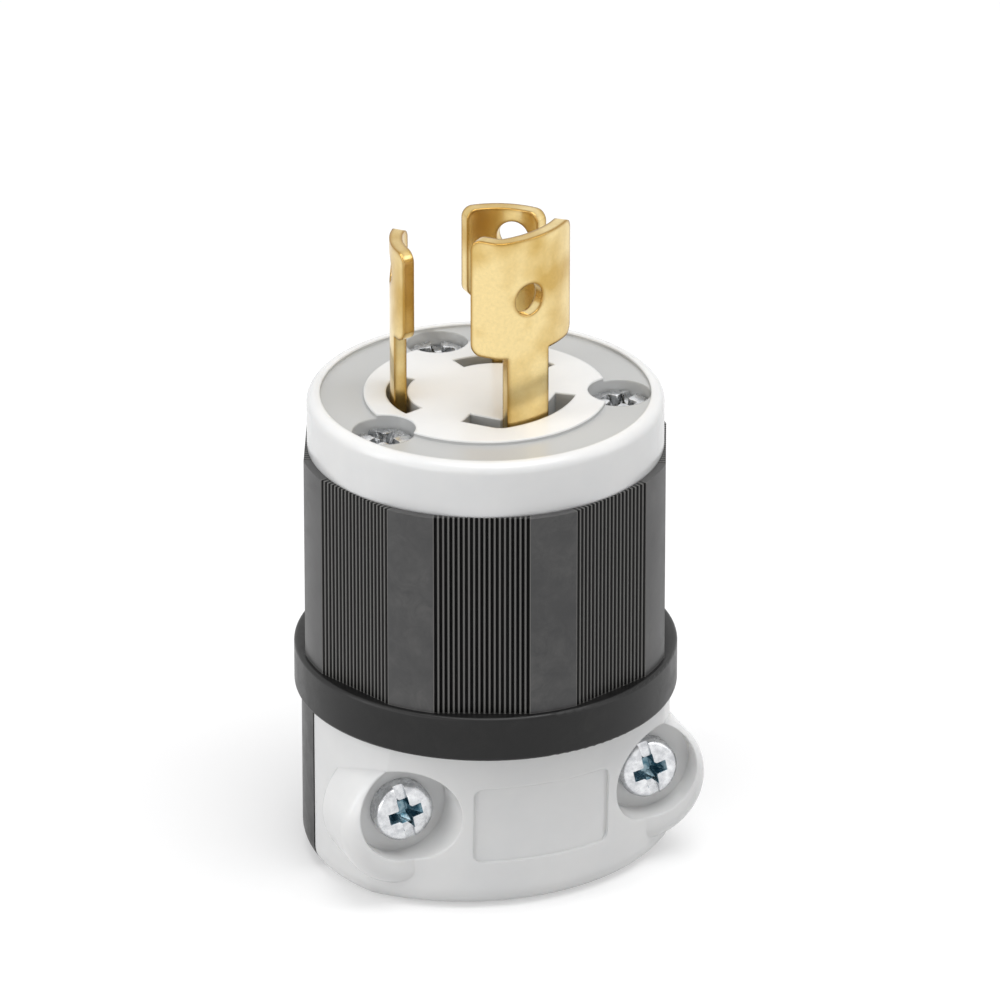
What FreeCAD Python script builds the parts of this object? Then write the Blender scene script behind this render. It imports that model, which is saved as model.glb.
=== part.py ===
"""Locking power plug, standing on its cord end with the blades up.

Units are millimetres. The origin is the middle of the flat cord end, +Z runs along the plug
towards the blades, and the white cord clamp faces -Y.
"""

import FreeCAD, Part
import math
import os

# Heights along the plug, from the cord end up
CLAMP_H = 17.75            # cord end to the underside of the collar
COLLAR_H = 4.72
GRIP_H = 21.03
NOSE_H = 5.55              # white nose above the grip

# Outer radii, all set by the grip's
GRIP_R = 18.4
COLLAR_LIP = 0.65          # how far the collar stands out from the grip above it
COLLAR_STEP = 0.7          # how far the collar stands out from the clamp below it
COLLAR_ROUND = 0.4
NOSE_STEP = 0.8            # how far the nose is set in from the grip
END_ROUND = 2.5            # rounded lower edge of the clamp halves

# Grip panels: eight smooth ones, with a ribbed flat between each two
PANELS = 8
FLAT_HALF_DEG = 15.0
RIB_PITCH = 0.50
RIB_DEPTH = 0.24
RIB_GROOVE = 0.30          # half width of a groove, in pitches

# Housing walls
SHELL_WALL = 2.4
REAR_WALL = 2.2
END_WALL = 3.0
FLOOR_T = 2.5              # partition between the clamp and the wiring space
TONGUE_H = 0.6             # locating tongue of the clamp, in a recess under the collar
TONGUE_T = 1.3
SPLIT_GAP = 0.3            # between the two clamp halves
FIT = 0.15                 # clearance of pieces that slide together
THREAD_FIT = 0.05          # clearance of a screw in its own thread

# Cord way
CORD_R = 8.4               # widest cord that the clamp takes
CORD_LEAD = 0.5            # rounded mouth of the cord hole
JAW_T = 1.6
JAW_PITCH = 5.2
JAW_COUNT = 2
THROAT_R = 8.9
SEAL_R = 9.9
SEAL_T = 1.5
SEAL_HOLE_R = 4.6
SEAL_RIB_R = 6.4           # raised bead round the hole of the seal
SEAL_RIB_H = 0.5

# Cord clamp
FRONT_SET_IN = 2.55        # middle of the clamp's front wall, in from the round behind it
FRONT_BOW_R = 21.65
FRONT_DRAFT = 0.8          # the front wall leans outwards from the cord end to the collar
CLAMP_WALL = 2.3
EAR_R = 6.6                # round ear beyond each clamp screw
EAR_INSET = 0.3            # ear centre, towards the axis from its screw
EAR_DROP = 1.5             # ear centre below its screw
EAR_BACK = 5.0             # where the ears start, in front of the axis
EAR_FRONT = 12.2
EAR_ROUND = 2.2
PANEL_W = 14.2
PANEL_H = 8.2
PANEL_DROP = 0.9           # panel centre below the screws
PANEL_DEEP = 0.3
PANEL_CORNER_R = 0.9
WELL_R = 4.85              # recess round each clamp screw
WELL_WALL = 1.6            # round and behind that recess

# Clamp screws and nuts
CLAMP_SCREW_SET_IN = 5.35  # screw axis, in from the round of the cord end
CLAMP_SCREW_DROP = 7.4     # screw axis below the collar
CLAMP_SCREW_SEAT = 9.75    # axis to the underside of the head
CLAMP_SCREW_R = 1.75
CLAMP_SCREW_L = 17.2
CLAMP_HEAD_R = 3.05
CLAMP_HEAD_H = 2.0
NUT_SIDE = 6.4
NUT_T = 2.6
NUT_DEPTH = 3.6            # from the split face to the nut
CLAMP_POST_R = 4.2
CLAMP_POST_END = 1.2       # post behind the tip of its screw

# Nose
NOSE_ROUND = 1.0
BAND_IN_R = 12.0           # lowered ring band on the face
BAND_SET_IN = 1.3          # its outer edge, in from the nose's side
BAND_DEEP = 0.4
SPIGOT_H = 5.4
ASSEMBLY_SET_IN = 4.45     # screw axis, in from the nose's side
ASSEMBLY_SPREAD = 109.8    # degrees from the rear screw to each of the others
ASSEMBLY_SCREW_R = 1.75
ASSEMBLY_HEAD_R = 3.0
ASSEMBLY_HEAD_H = 2.0
ASSEMBLY_SINK = 1.1        # head top below the face
ASSEMBLY_GRIP = 7.4        # how far the screw reaches into its post
WELL_GAP = 0.12            # between a head and the wall of its counterbore
POST_R = 3.0
POST_H = 7.0

# Terminal retainer
RETAINER_FLOOR = 1.0
RETAINER_ROOF = 1.0
POCKET_HALF_W = 4.0
WIRE_NOTCH_W = 4.4

# Blades: seat radius of the outer face, direction from the axis, turn off the tangent, radius
# of the bow, and how far the head reaches beyond the leg on the locking side
GROUND_SEAT_R = 8.21
GROUND_DEG = -79.45
GROUND_TURN = 4.65
GROUND_BOW_R = 11.0
GROUND_SHOULDER_W = 4.3
NEUTRAL_SEAT_R = 8.62
NEUTRAL_DEG = 47.8
NEUTRAL_TURN = 5.6
NEUTRAL_SHOULDER_W = 3.1
LINE_SEAT_R = 9.4
LINE_DEG = 160.5
LINE_TURN = -0.3
LINE_SHOULDER_W = 2.0
POLE_BOW_R = 7.5           # bow of line and neutral
BLADE_T = 1.27
LEG_W = 5.0
HEEL_W = 0.8               # head beyond the leg on the trailing side
NECK_H = 7.1               # face to the underside of the heads
POLE_TIP_H = 16.5          # face to the tips of line and neutral
GROUND_TIP_H = 19.35
HEAD_CORNER_R = 1.1
HEEL_CORNER_R = 0.6
BLADE_HOLE_R = 1.65
POLE_HOLE_H = 13.5         # face to the centres of the blade holes
GROUND_HOLE_H = 12.9
HOOK_BEND_DEG = 48.0
HOOK_BEND_R = 0.5
HOOK_L = 2.4
SLOT_GAP = 0.4
SLOT_END_GAP = 0.8
PAD_W = 7.0
PAD_SET_IN = 0.35          # flat pad, behind the outermost line of the bowed leg
PAD_CLEAR = 0.12

# Terminal screws and pressure plates
TERMINAL_SCREW_R = 1.9
TERMINAL_HEAD_R = 3.2
TERMINAL_HEAD_H = 2.0
TERMINAL_TIP = 1.2         # screw tip past the pad
WIRE_GAP = 1.3             # between pad and pressure plate
PLATE_T = 1.0
PLATE_W = 7.0
PLATE_H = 7.0

# Screw driver recesses
SLOT_W = 1.05
SLOT_DEEP = 0.85
CROSS_W = 0.95
CROSS_L = 3.3
CROSS_DEEP = 1.35
HEAD_ROUND = 0.6

# Levels and radii that follow from the sizes above
COLLAR_Z = CLAMP_H
GRIP_Z = COLLAR_Z + COLLAR_H
NOSE_Z = GRIP_Z + GRIP_H
FACE_Z = NOSE_Z + NOSE_H
COLLAR_R = GRIP_R + COLLAR_LIP
NOSE_R = GRIP_R - NOSE_STEP
BAND_OUT_R = NOSE_R - BAND_SET_IN
ASSEMBLY_PITCH_R = NOSE_R - ASSEMBLY_SET_IN
REAR_R = COLLAR_R - COLLAR_STEP
REAR_IN_R = REAR_R - REAR_WALL
FRONT_APEX = REAR_R - FRONT_SET_IN
FRONT_BOW_Y = FRONT_BOW_R - FRONT_APEX
CAVITY_R = GRIP_R - SHELL_WALL
FLOOR_Z = COLLAR_Z + TONGUE_H + FIT
FLOOR_TOP_Z = FLOOR_Z + FLOOR_T
POST_TOP_Z = FLOOR_TOP_Z + POST_H
SPIGOT_Z = NOSE_Z - SPIGOT_H
RETAINER_Z = POST_TOP_Z
RETAINER_TOP_Z = SPIGOT_Z - FIT
POCKET_Z = RETAINER_Z + RETAINER_FLOOR
POCKET_TOP_Z = RETAINER_TOP_Z - RETAINER_ROOF
TERMINAL_Z = (POCKET_Z + POCKET_TOP_Z) / 2
HEAD_Z = FACE_Z + NECK_H
CLAMP_SCREW_X = REAR_R - CLAMP_SCREW_SET_IN
CLAMP_SCREW_Z = COLLAR_Z - CLAMP_SCREW_DROP
CLAMP_BACK_Y = CLAMP_SCREW_L - CLAMP_SCREW_SEAT + CLAMP_POST_END
EAR_X = CLAMP_SCREW_X - EAR_INSET
EAR_Z = CLAMP_SCREW_Z - EAR_DROP
REAR_SCREW_DEG = 90.0
ASSEMBLY_DEG = [REAR_SCREW_DEG + turn for turn in (-ASSEMBLY_SPREAD, 0.0, ASSEMBLY_SPREAD)]
ASSEMBLY_SEAT_Z = FACE_Z - ASSEMBLY_SINK - ASSEMBLY_HEAD_H
PAST = 1.0                # how far a cutting tool runs past the face it cuts
BIG = 3 * COLLAR_R

X_AXIS = FreeCAD.Vector(1, 0, 0)
Y_AXIS = FreeCAD.Vector(0, 1, 0)
Z_AXIS = FreeCAD.Vector(0, 0, 1)


def vec(x, y, z=0.0):
    return FreeCAD.Vector(x, y, z)


def polar(radius, degrees, z=0.0):
    """Point at a radius and a direction from the plug's axis."""
    angle = math.radians(degrees)
    return vec(radius * math.cos(angle), radius * math.sin(angle), z)


def upright(radius, low, high, at=FreeCAD.Vector(0, 0, 0)):
    """Cylinder along Z between two heights."""
    return Part.makeCylinder(radius, high - low, vec(at.x, at.y, low), Z_AXIS)


def along_y(radius, x, z, start, stop):
    """Cylinder along Y between two distances from the split plane."""
    return Part.makeCylinder(radius, stop - start, vec(x, start, z), Y_AXIS)


def block(x0, x1, y0, y1, z0, z1):
    return Part.makeBox(x1 - x0, y1 - y0, z1 - z0, vec(x0, y0, z0))


def fuse(first, *others):
    return first.fuse(list(others)).removeSplitter()


def cut(body, *tools):
    return body.cut(list(tools))


def round_edges(body, radius, wanted):
    """Fillet the edges that the test picks."""
    edges = [edge for edge in body.Edges if wanted(edge)]
    return body.makeFillet(radius, edges)


def lies_at(edge, height):
    """True for an edge that lies wholly at one height."""
    box = edge.BoundBox
    return abs(box.ZMin - height) < 1e-4 and abs(box.ZMax - height) < 1e-4


def rounded_end_drum(radius, top, centre=FreeCAD.Vector(0, 0, 0)):
    """Cylinder that stands on z = 0 and has a rounded lower edge."""
    drum = upright(radius, 0, top, centre)
    return round_edges(drum, END_ROUND, lambda edge: lies_at(edge, 0))


# Screws

def pan_head_screw(head_r, head_h, shank_r, length):
    """Screw along +Z with its head's underside at z = 0 and its head above."""
    head = upright(head_r, 0, head_h)
    head = round_edges(head, HEAD_ROUND, lambda edge: lies_at(edge, head_h))
    screw = fuse(head, upright(shank_r, -length, 0))
    tip_edges = [edge for edge in screw.Edges if lies_at(edge, -length)]
    screw = screw.makeChamfer(0.3 * shank_r, tip_edges)
    slot = block(-BIG, BIG, -SLOT_W / 2, SLOT_W / 2, head_h - SLOT_DEEP, head_h + PAST)
    cross = block(-CROSS_W / 2, CROSS_W / 2, -CROSS_L / 2, CROSS_L / 2,
                  head_h - CROSS_DEEP, head_h + PAST)
    well = block(-CROSS_L / 2, CROSS_L / 2, -CROSS_W / 2, CROSS_W / 2,
                 head_h - CROSS_DEEP, head_h + PAST)
    return cut(screw, slot, cross, well)


def placed(shape, base, rotation):
    shape = shape.copy()
    shape.Placement = FreeCAD.Placement(base, rotation)
    return shape


# Housing: grip, collar and the black half of the cord end, moulded in one

def grip_outline():
    """Closed outline of the grip: arcs, and flats with fine vertical grooves."""
    step = 360.0 / PANELS
    smooth_half = step / 2 - FLAT_HALF_DEG
    edges = []
    for panel in range(PANELS):
        middle = -90.0 + panel * step
        start = polar(GRIP_R, middle - smooth_half)
        top = polar(GRIP_R, middle)
        end = polar(GRIP_R, middle + smooth_half)
        edges.append(Part.Arc(start, top, end).toShape())
        flat_end = polar(GRIP_R, middle + step - smooth_half)
        edges += ribbed_flat(end, flat_end)
    return Part.Wire(edges)


def ribbed_flat(start, end):
    chord = end.sub(start)
    ribs = max(1, round(chord.Length / RIB_PITCH))
    along = chord.multiply(1.0 / ribs)
    inward = vec(-along.y, along.x).normalize().multiply(RIB_DEPTH)
    points = [start]
    for rib in range(ribs):
        for place, depth in ((0.5 - RIB_GROOVE, 0), (0.5, 1), (0.5 + RIB_GROOVE, 0)):
            point = start.add(vec(along.x, along.y).multiply(rib + place))
            points.append(point.add(vec(inward.x, inward.y).multiply(depth)))
    points.append(end)
    return Part.makePolygon(points).Edges


def assembly_places():
    return [polar(ASSEMBLY_PITCH_R, degrees) for degrees in ASSEMBLY_DEG]


def make_housing():
    grip = Part.Face(grip_outline()).extrude(vec(0, 0, GRIP_H))
    grip.translate(vec(0, 0, GRIP_Z))
    collar = upright(COLLAR_R, COLLAR_Z, GRIP_Z)
    collar = round_edges(collar, COLLAR_ROUND,
                         lambda edge: lies_at(edge, COLLAR_Z) or lies_at(edge, GRIP_Z))
    drum = rounded_end_drum(REAR_R, COLLAR_Z + COLLAR_ROUND)
    back_half = drum.common(block(-BIG, BIG, 0, BIG, 0, COLLAR_Z + COLLAR_ROUND))
    body = fuse(collar, grip, back_half)
    wiring = upright(CAVITY_R, FLOOR_TOP_Z, NOSE_Z + PAST)
    clamp_room = upright(REAR_IN_R, END_WALL, FLOOR_Z)
    body = cut(body, wiring, clamp_room)
    inner = upright(REAR_IN_R + REAR_WALL / 2, END_WALL / 2, FLOOR_Z)
    back = block(-BIG, BIG, 0, BIG, 0, FLOOR_Z)
    body = fuse(body, *[part.common(inner).common(back) for part in clamp_posts(0, CLAMP_BACK_Y)])
    body = fuse(body, *[jaw.common(back) for jaw in jaws(REAR_IN_R + REAR_WALL / 2)])
    shell = upright(CAVITY_R + SHELL_WALL / 2, FLOOR_TOP_Z, POST_TOP_Z)
    for place in assembly_places():
        post = upright(POST_R, FLOOR_TOP_Z - PAST, POST_TOP_Z, place).common(
            fuse(shell, upright(CAVITY_R, FLOOR_TOP_Z - PAST, FLOOR_TOP_Z)))
        body = fuse(body, post)
    for place in assembly_places():
        bottom = POST_TOP_Z - ASSEMBLY_GRIP - FIT
        body = cut(body, upright(ASSEMBLY_SCREW_R + THREAD_FIT, bottom, POST_TOP_Z + PAST, place))
    body = cut(body, cord_way(), upright(THROAT_R, FLOOR_Z - PAST, FLOOR_TOP_Z + PAST))
    body = cut(body, upright(SEAL_R + FIT, FLOOR_TOP_Z - SEAL_T, FLOOR_TOP_Z + PAST))
    for side in (-1, 1):
        hole = along_y(CLAMP_SCREW_R + FIT, side * CLAMP_SCREW_X, CLAMP_SCREW_Z, -PAST,
                       CLAMP_SCREW_L - CLAMP_SCREW_SEAT + 2 * FIT)
        body = cut(body, hole, nut_slot(side))
    return body


def clamp_posts(start, stop):
    """Solid posts round both clamp screws."""
    posts = []
    for side in (-1, 1):
        round_post = along_y(CLAMP_POST_R, side * CLAMP_SCREW_X, CLAMP_SCREW_Z, start, stop)
        near = CLAMP_SCREW_X
        far = REAR_R
        web = block(min(side * near, side * far), max(side * near, side * far), start, stop,
                    CLAMP_SCREW_Z - CLAMP_POST_R, CLAMP_SCREW_Z + CLAMP_POST_R)
        posts.append(fuse(round_post, web))
    return posts


def nut_slot(side):
    """Slot that takes a square nut from the inside."""
    reach = CLAMP_SCREW_X + NUT_SIDE / 2 + FIT
    near = CLAMP_SCREW_X - CLAMP_POST_R - PAST
    half = NUT_SIDE / 2 + FIT
    return block(min(side * near, side * reach), max(side * near, side * reach),
                 NUT_DEPTH - FIT, NUT_DEPTH + NUT_T + FIT,
                 CLAMP_SCREW_Z - half, CLAMP_SCREW_Z + half)


def jaws(radius):
    """Cross ribs that grip the cord, before they are split between the halves."""
    first = END_WALL + (CLAMP_SCREW_Z - END_WALL) - JAW_PITCH * (JAW_COUNT - 1) / 2 - JAW_T / 2
    ribs = []
    for index in range(JAW_COUNT):
        low = first + index * JAW_PITCH
        ribs.append(upright(radius, low, low + JAW_T))
    return ribs


def cord_way():
    """Round way for the cord through the end wall and the jaws."""
    way = upright(CORD_R, -PAST, FLOOR_Z - FIT)
    mouth = Part.makeCone(CORD_R + CORD_LEAD, CORD_R, CORD_LEAD)
    return fuse(way, mouth)


# Cord clamp: the white half of the cord end

def bowed_front(inset=0.0):
    """Leaning drum whose near side is the clamp's front wall."""
    low, high = FRONT_BOW_R - inset, FRONT_BOW_R + FRONT_DRAFT - inset
    return Part.makeCone(low, high, COLLAR_Z, vec(0, FRONT_BOW_Y, 0), Z_AXIS)


def make_cord_clamp():
    top = COLLAR_Z - FIT
    drum = rounded_end_drum(REAR_R, top)
    front = round_edges(bowed_front(), END_ROUND, lambda edge: lies_at(edge, 0))
    front_half = block(-BIG, BIG, -BIG, -SPLIT_GAP, 0, top)
    body = drum.common(front).common(front_half)
    body = fuse(body, *[clamp_ear(side) for side in (-1, 1)])
    room = upright(REAR_R - CLAMP_WALL, END_WALL, top + PAST)
    bow_room = upright(FRONT_BOW_R - CLAMP_WALL, END_WALL, top + PAST, vec(0, FRONT_BOW_Y))
    body = cut(body, room.common(bow_room))
    inner = upright(REAR_R - CLAMP_WALL / 2, 0, top).common(bowed_front(CLAMP_WALL / 2))
    inner = inner.common(front_half)
    body = fuse(body, *[post.common(inner) for post in clamp_posts(-CLAMP_SCREW_SEAT, -SPLIT_GAP)])
    body = fuse(body, *[along_y(WELL_R + WELL_WALL, side * CLAMP_SCREW_X, CLAMP_SCREW_Z, -BIG,
                                WELL_WALL - CLAMP_SCREW_SEAT).common(inner) for side in (-1, 1)])
    body = fuse(body, *[jaw.common(inner) for jaw in jaws(REAR_R)])
    body = fuse(body, clamp_tongue())
    body = cut(body, cord_way(), clamp_panel())
    for side in (-1, 1):
        x = side * CLAMP_SCREW_X
        well = along_y(WELL_R, x, CLAMP_SCREW_Z, -BIG, -CLAMP_SCREW_SEAT)
        body = cut(body, well)
        body = cut(body, along_y(CLAMP_SCREW_R + FIT, x, CLAMP_SCREW_Z, -BIG, BIG))
    return body


def clamp_ear(side):
    """Round ear that reaches past the clamp's side, level with the screw head."""
    ear = along_y(EAR_R, side * EAR_X, EAR_Z, -EAR_FRONT, -EAR_BACK)
    rim = [edge for edge in ear.Edges if edge.BoundBox.YMax < -EAR_BACK - PAST]
    ear = ear.makeFillet(EAR_ROUND, rim)
    return cut(ear, upright(REAR_R - CLAMP_WALL, END_WALL, COLLAR_Z))


def clamp_tongue():
    """Curved tongue that fits in the recess under the collar."""
    outer = REAR_IN_R - FIT
    ring = cut(upright(outer, COLLAR_Z - TONGUE_T, COLLAR_Z + TONGUE_H),
               upright(outer - TONGUE_T, 0, BIG))
    wall = upright(FRONT_BOW_R - CLAMP_WALL / 2, 0, BIG, vec(0, FRONT_BOW_Y))
    return ring.common(wall).common(block(-BIG, BIG, -BIG, -CORD_R / 2, 0, BIG))


def clamp_panel():
    """Bare shallow recess between the two screws, which follows the bow of the wall."""
    centre_z = CLAMP_SCREW_Z - PANEL_DROP
    tool = block(-PANEL_W / 2, PANEL_W / 2, -BIG, 0,
                 centre_z - PANEL_H / 2, centre_z + PANEL_H / 2)
    corners = [edge for edge in tool.Edges
               if abs(edge.Vertexes[0].Point.x - edge.Vertexes[1].Point.x) < 1e-6
               and abs(edge.Vertexes[0].Point.z - edge.Vertexes[1].Point.z) < 1e-6]
    return cut(tool.makeFillet(PANEL_CORNER_R, corners), bowed_front(PANEL_DEEP))


def make_clamp_screw(side):
    screw = pan_head_screw(CLAMP_HEAD_R, CLAMP_HEAD_H, CLAMP_SCREW_R, CLAMP_SCREW_L)
    turn = FreeCAD.Rotation(X_AXIS, 90).multiply(FreeCAD.Rotation(Z_AXIS, 90))
    return placed(screw, vec(side * CLAMP_SCREW_X, -CLAMP_SCREW_SEAT, CLAMP_SCREW_Z), turn)


def make_clamp_nut(side):
    half = NUT_SIDE / 2
    x = side * CLAMP_SCREW_X
    nut = block(x - half, x + half, NUT_DEPTH, NUT_DEPTH + NUT_T,
                CLAMP_SCREW_Z - half, CLAMP_SCREW_Z + half)
    return cut(nut, along_y(CLAMP_SCREW_R + THREAD_FIT, x, CLAMP_SCREW_Z, -BIG, BIG))


# Blades

class Blade:
    """Sizes of one blade: its seat, its bow, and the reach of its head."""

    def __init__(self, seat_r, degrees, turn, bow, shoulder, tip, hole, hook=0.0):
        self.placement = FreeCAD.Placement(polar(seat_r, degrees),
                                           FreeCAD.Rotation(Z_AXIS, degrees + turn))
        self.bow = bow
        self.locking = LEG_W / 2 + shoulder
        self.trailing = LEG_W / 2 if hook else LEG_W / 2 + HEEL_W
        self.tip = FACE_Z + tip
        self.hole = FACE_Z + hole
        self.hook = hook


BLADES = {
    "ground": Blade(GROUND_SEAT_R, GROUND_DEG, GROUND_TURN, GROUND_BOW_R, GROUND_SHOULDER_W,
                    GROUND_TIP_H, GROUND_HOLE_H, HOOK_L),
    "neutral": Blade(NEUTRAL_SEAT_R, NEUTRAL_DEG, NEUTRAL_TURN, POLE_BOW_R, NEUTRAL_SHOULDER_W,
                     POLE_TIP_H, POLE_HOLE_H),
    "line": Blade(LINE_SEAT_R, LINE_DEG, LINE_TURN, POLE_BOW_R, LINE_SHOULDER_W,
                  POLE_TIP_H, POLE_HOLE_H),
}


def seated(shape, blade):
    """Move a shape from its blade's frame: x out, y along the turn to lock, z up."""
    shape = shape.copy()
    shape.Placement = blade.placement.multiply(shape.Placement)
    return shape


def round_point(centre, radius, angle):
    return vec(centre.x + radius * math.cos(angle), centre.y + radius * math.sin(angle))


def round_arc(centre, radius, start, stop):
    angles = (start, (start + stop) / 2, stop)
    return Part.Arc(*[round_point(centre, radius, angle) for angle in angles]).toShape()


def line(start, end):
    return Part.LineSegment(start, end).toShape()


def strip_section(bow, trailing, locking, grow=0.0, hook=0.0):
    """Cross-section of a bowed strip, with an inward hook at its trailing end."""
    middle = vec(-bow, 0)
    outer = bow + grow
    inner = bow - BLADE_T - grow
    first = -trailing / bow
    last = locking / bow
    end = line(round_point(middle, inner, last), round_point(middle, outer, last))
    if hook == 0:
        start = line(round_point(middle, outer, first), round_point(middle, inner, first))
        return Part.Face(Part.Wire([round_arc(middle, outer, last, first), start,
                                    round_arc(middle, inner, first, last), end]))
    centre = round_point(middle, bow - BLADE_T - HOOK_BEND_R, first)
    bend_out = HOOK_BEND_R + BLADE_T + grow
    bend_in = HOOK_BEND_R - grow
    turned = first - math.radians(HOOK_BEND_DEG)
    away = vec(math.sin(turned), -math.cos(turned)).multiply(hook)
    corner_out = round_point(centre, bend_out, turned)
    corner_in = round_point(centre, bend_in, turned)
    edges = [round_arc(middle, outer, last, first),
             round_arc(centre, bend_out, first, turned),
             line(corner_out, corner_out.add(away)),
             line(corner_out.add(away), corner_in.add(away)),
             line(corner_in.add(away), corner_in),
             round_arc(centre, bend_in, turned, first),
             round_arc(middle, inner, first, last),
             end]
    return Part.Face(Part.Wire(edges))


def lifted(face, low, high):
    solid = face.extrude(vec(0, 0, high - low))
    solid.translate(vec(0, 0, low))
    return solid


def blade_head(blade):
    """Locking head with rounded corners."""
    head = lifted(strip_section(blade.bow, blade.trailing, blade.locking, 0.0, blade.hook),
                  HEAD_Z, blade.tip)
    corners = [edge for edge in head.Edges
               if abs(edge.Length - BLADE_T) < 1e-3
               and (lies_at(edge, HEAD_Z) or lies_at(edge, blade.tip))]
    heel = [edge for edge in corners
            if not blade.hook and lies_at(edge, HEAD_Z) and edge.BoundBox.Center.y < 0]
    wide = [edge for edge in corners if not any(edge.isSame(other) for other in heel)]
    head = head.makeFillet(HEAD_CORNER_R, wide)
    if heel:
        spots = [edge.BoundBox.Center for edge in heel]
        again = [edge for edge in head.Edges
                 if any(edge.BoundBox.Center.distanceToPoint(spot) < 1e-3 for spot in spots)]
        head = head.makeFillet(HEEL_CORNER_R, again)
    return head


def make_blade(blade):
    """One brass stamping: locking head, leg and terminal pad."""
    pad_top = POCKET_TOP_Z - PAD_CLEAR
    leg = lifted(strip_section(blade.bow, LEG_W / 2, LEG_W / 2),
                 pad_top - PLATE_H / 2, HEAD_Z + PAST)
    pad = block(-PAD_SET_IN - BLADE_T, -PAD_SET_IN, -PAD_W / 2, PAD_W / 2,
                POCKET_Z + PAD_CLEAR, pad_top)
    body = fuse(blade_head(blade), leg, pad)
    hole = Part.makeCylinder(BLADE_HOLE_R, BIG, vec(-BIG / 2, 0, blade.hole), X_AXIS)
    thread = Part.makeCylinder(TERMINAL_SCREW_R + THREAD_FIT, BIG, vec(-BIG / 2, 0, TERMINAL_Z),
                               X_AXIS)
    return seated(cut(body, hole, thread), blade)


def blade_slot(blade):
    """Opening in the nose, as large as the head that is passed up through it."""
    trailing = blade.trailing if blade.hook else blade.trailing + SLOT_END_GAP
    hook = blade.hook + SLOT_END_GAP if blade.hook else 0.0
    section = strip_section(blade.bow, trailing, blade.locking + SLOT_END_GAP, SLOT_GAP, hook)
    return seated(lifted(section, SPIGOT_Z - PAST, FACE_Z + PAST), blade)


# Terminals

def make_terminal_screw():
    screw = pan_head_screw(TERMINAL_HEAD_R, TERMINAL_HEAD_H, TERMINAL_SCREW_R,
                           WIRE_GAP + PLATE_T + BLADE_T + TERMINAL_TIP)
    turn = FreeCAD.Rotation(Y_AXIS, 90)
    return placed(screw, vec(WIRE_GAP + PLATE_T, 0, TERMINAL_Z), turn)


def make_pressure_plate():
    plate = block(WIRE_GAP, WIRE_GAP + PLATE_T, -PLATE_W / 2, PLATE_W / 2,
                  TERMINAL_Z - PLATE_H / 2, TERMINAL_Z + PLATE_H / 2)
    corners = [edge for edge in plate.Edges
               if abs(edge.Length - PLATE_T) < 1e-6]
    plate = plate.makeFillet(0.8, corners)
    hole = Part.makeCylinder(TERMINAL_SCREW_R + FIT, BIG, vec(-BIG / 2, 0, TERMINAL_Z), X_AXIS)
    return cut(plate, hole)


def terminal_pocket(blade):
    """Space for one terminal in the retainer, open to the side."""
    back = -PAD_SET_IN - BLADE_T - FIT
    pocket = block(back, BIG, -POCKET_HALF_W, POCKET_HALF_W, POCKET_Z, POCKET_TOP_Z)
    sag = blade.bow - math.sqrt(blade.bow ** 2 - (LEG_W / 2) ** 2)
    notch = block(back - sag, BIG, -LEG_W / 2 - FIT, LEG_W / 2 + FIT,
                  POCKET_TOP_Z - FIT, RETAINER_TOP_Z + PAST)
    wire = block(FIT, BIG, -WIRE_NOTCH_W / 2, WIRE_NOTCH_W / 2, RETAINER_Z - PAST, POCKET_Z + PAST)
    tip_room = Part.makeCylinder(TERMINAL_SCREW_R + 2 * FIT, TERMINAL_TIP + 2 * FIT,
                                 vec(-BLADE_T - TERMINAL_TIP - 2 * FIT, 0, TERMINAL_Z), X_AXIS)
    return seated(fuse(pocket, notch, wire, tip_room), blade)


def make_retainer():
    body = upright(CAVITY_R - 2 * FIT, RETAINER_Z, RETAINER_TOP_Z)
    for blade in BLADES.values():
        body = cut(body, terminal_pocket(blade))
    for place in assembly_places():
        body = cut(body, upright(ASSEMBLY_SCREW_R + FIT, 0, BIG, place))
    return body


# Nose

def make_nose():
    cap = upright(NOSE_R, NOSE_Z, FACE_Z)
    cap = round_edges(cap, NOSE_ROUND, lambda edge: lies_at(edge, FACE_Z))
    body = fuse(cap, upright(CAVITY_R - FIT, SPIGOT_Z, NOSE_Z))
    band = cut(upright(BAND_OUT_R, FACE_Z - BAND_DEEP, FACE_Z + PAST),
               upright(BAND_IN_R, 0, BIG))
    body = cut(body, band)
    for place in assembly_places():
        well = upright(ASSEMBLY_HEAD_R + WELL_GAP, ASSEMBLY_SEAT_Z, FACE_Z + PAST, place)
        body = cut(body, well, upright(ASSEMBLY_SCREW_R + FIT, 0, BIG, place))
    return cut(body, *[blade_slot(blade) for blade in BLADES.values()])


def make_assembly_screw(place, degrees):
    length = ASSEMBLY_SEAT_Z - POST_TOP_Z + ASSEMBLY_GRIP
    screw = pan_head_screw(ASSEMBLY_HEAD_R, ASSEMBLY_HEAD_H, ASSEMBLY_SCREW_R, length)
    return placed(screw, vec(place.x, place.y, ASSEMBLY_SEAT_Z),
                  FreeCAD.Rotation(Z_AXIS, degrees))


def make_seal():
    """Dust seal with a raised bead round its hole."""
    low = FLOOR_TOP_Z - SEAL_T
    disc = upright(SEAL_R, low, FLOOR_TOP_Z)
    bead = upright(SEAL_RIB_R, FLOOR_TOP_Z, FLOOR_TOP_Z + SEAL_RIB_H)
    return cut(fuse(disc, bead), upright(SEAL_HOLE_R, 0, BIG))


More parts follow.
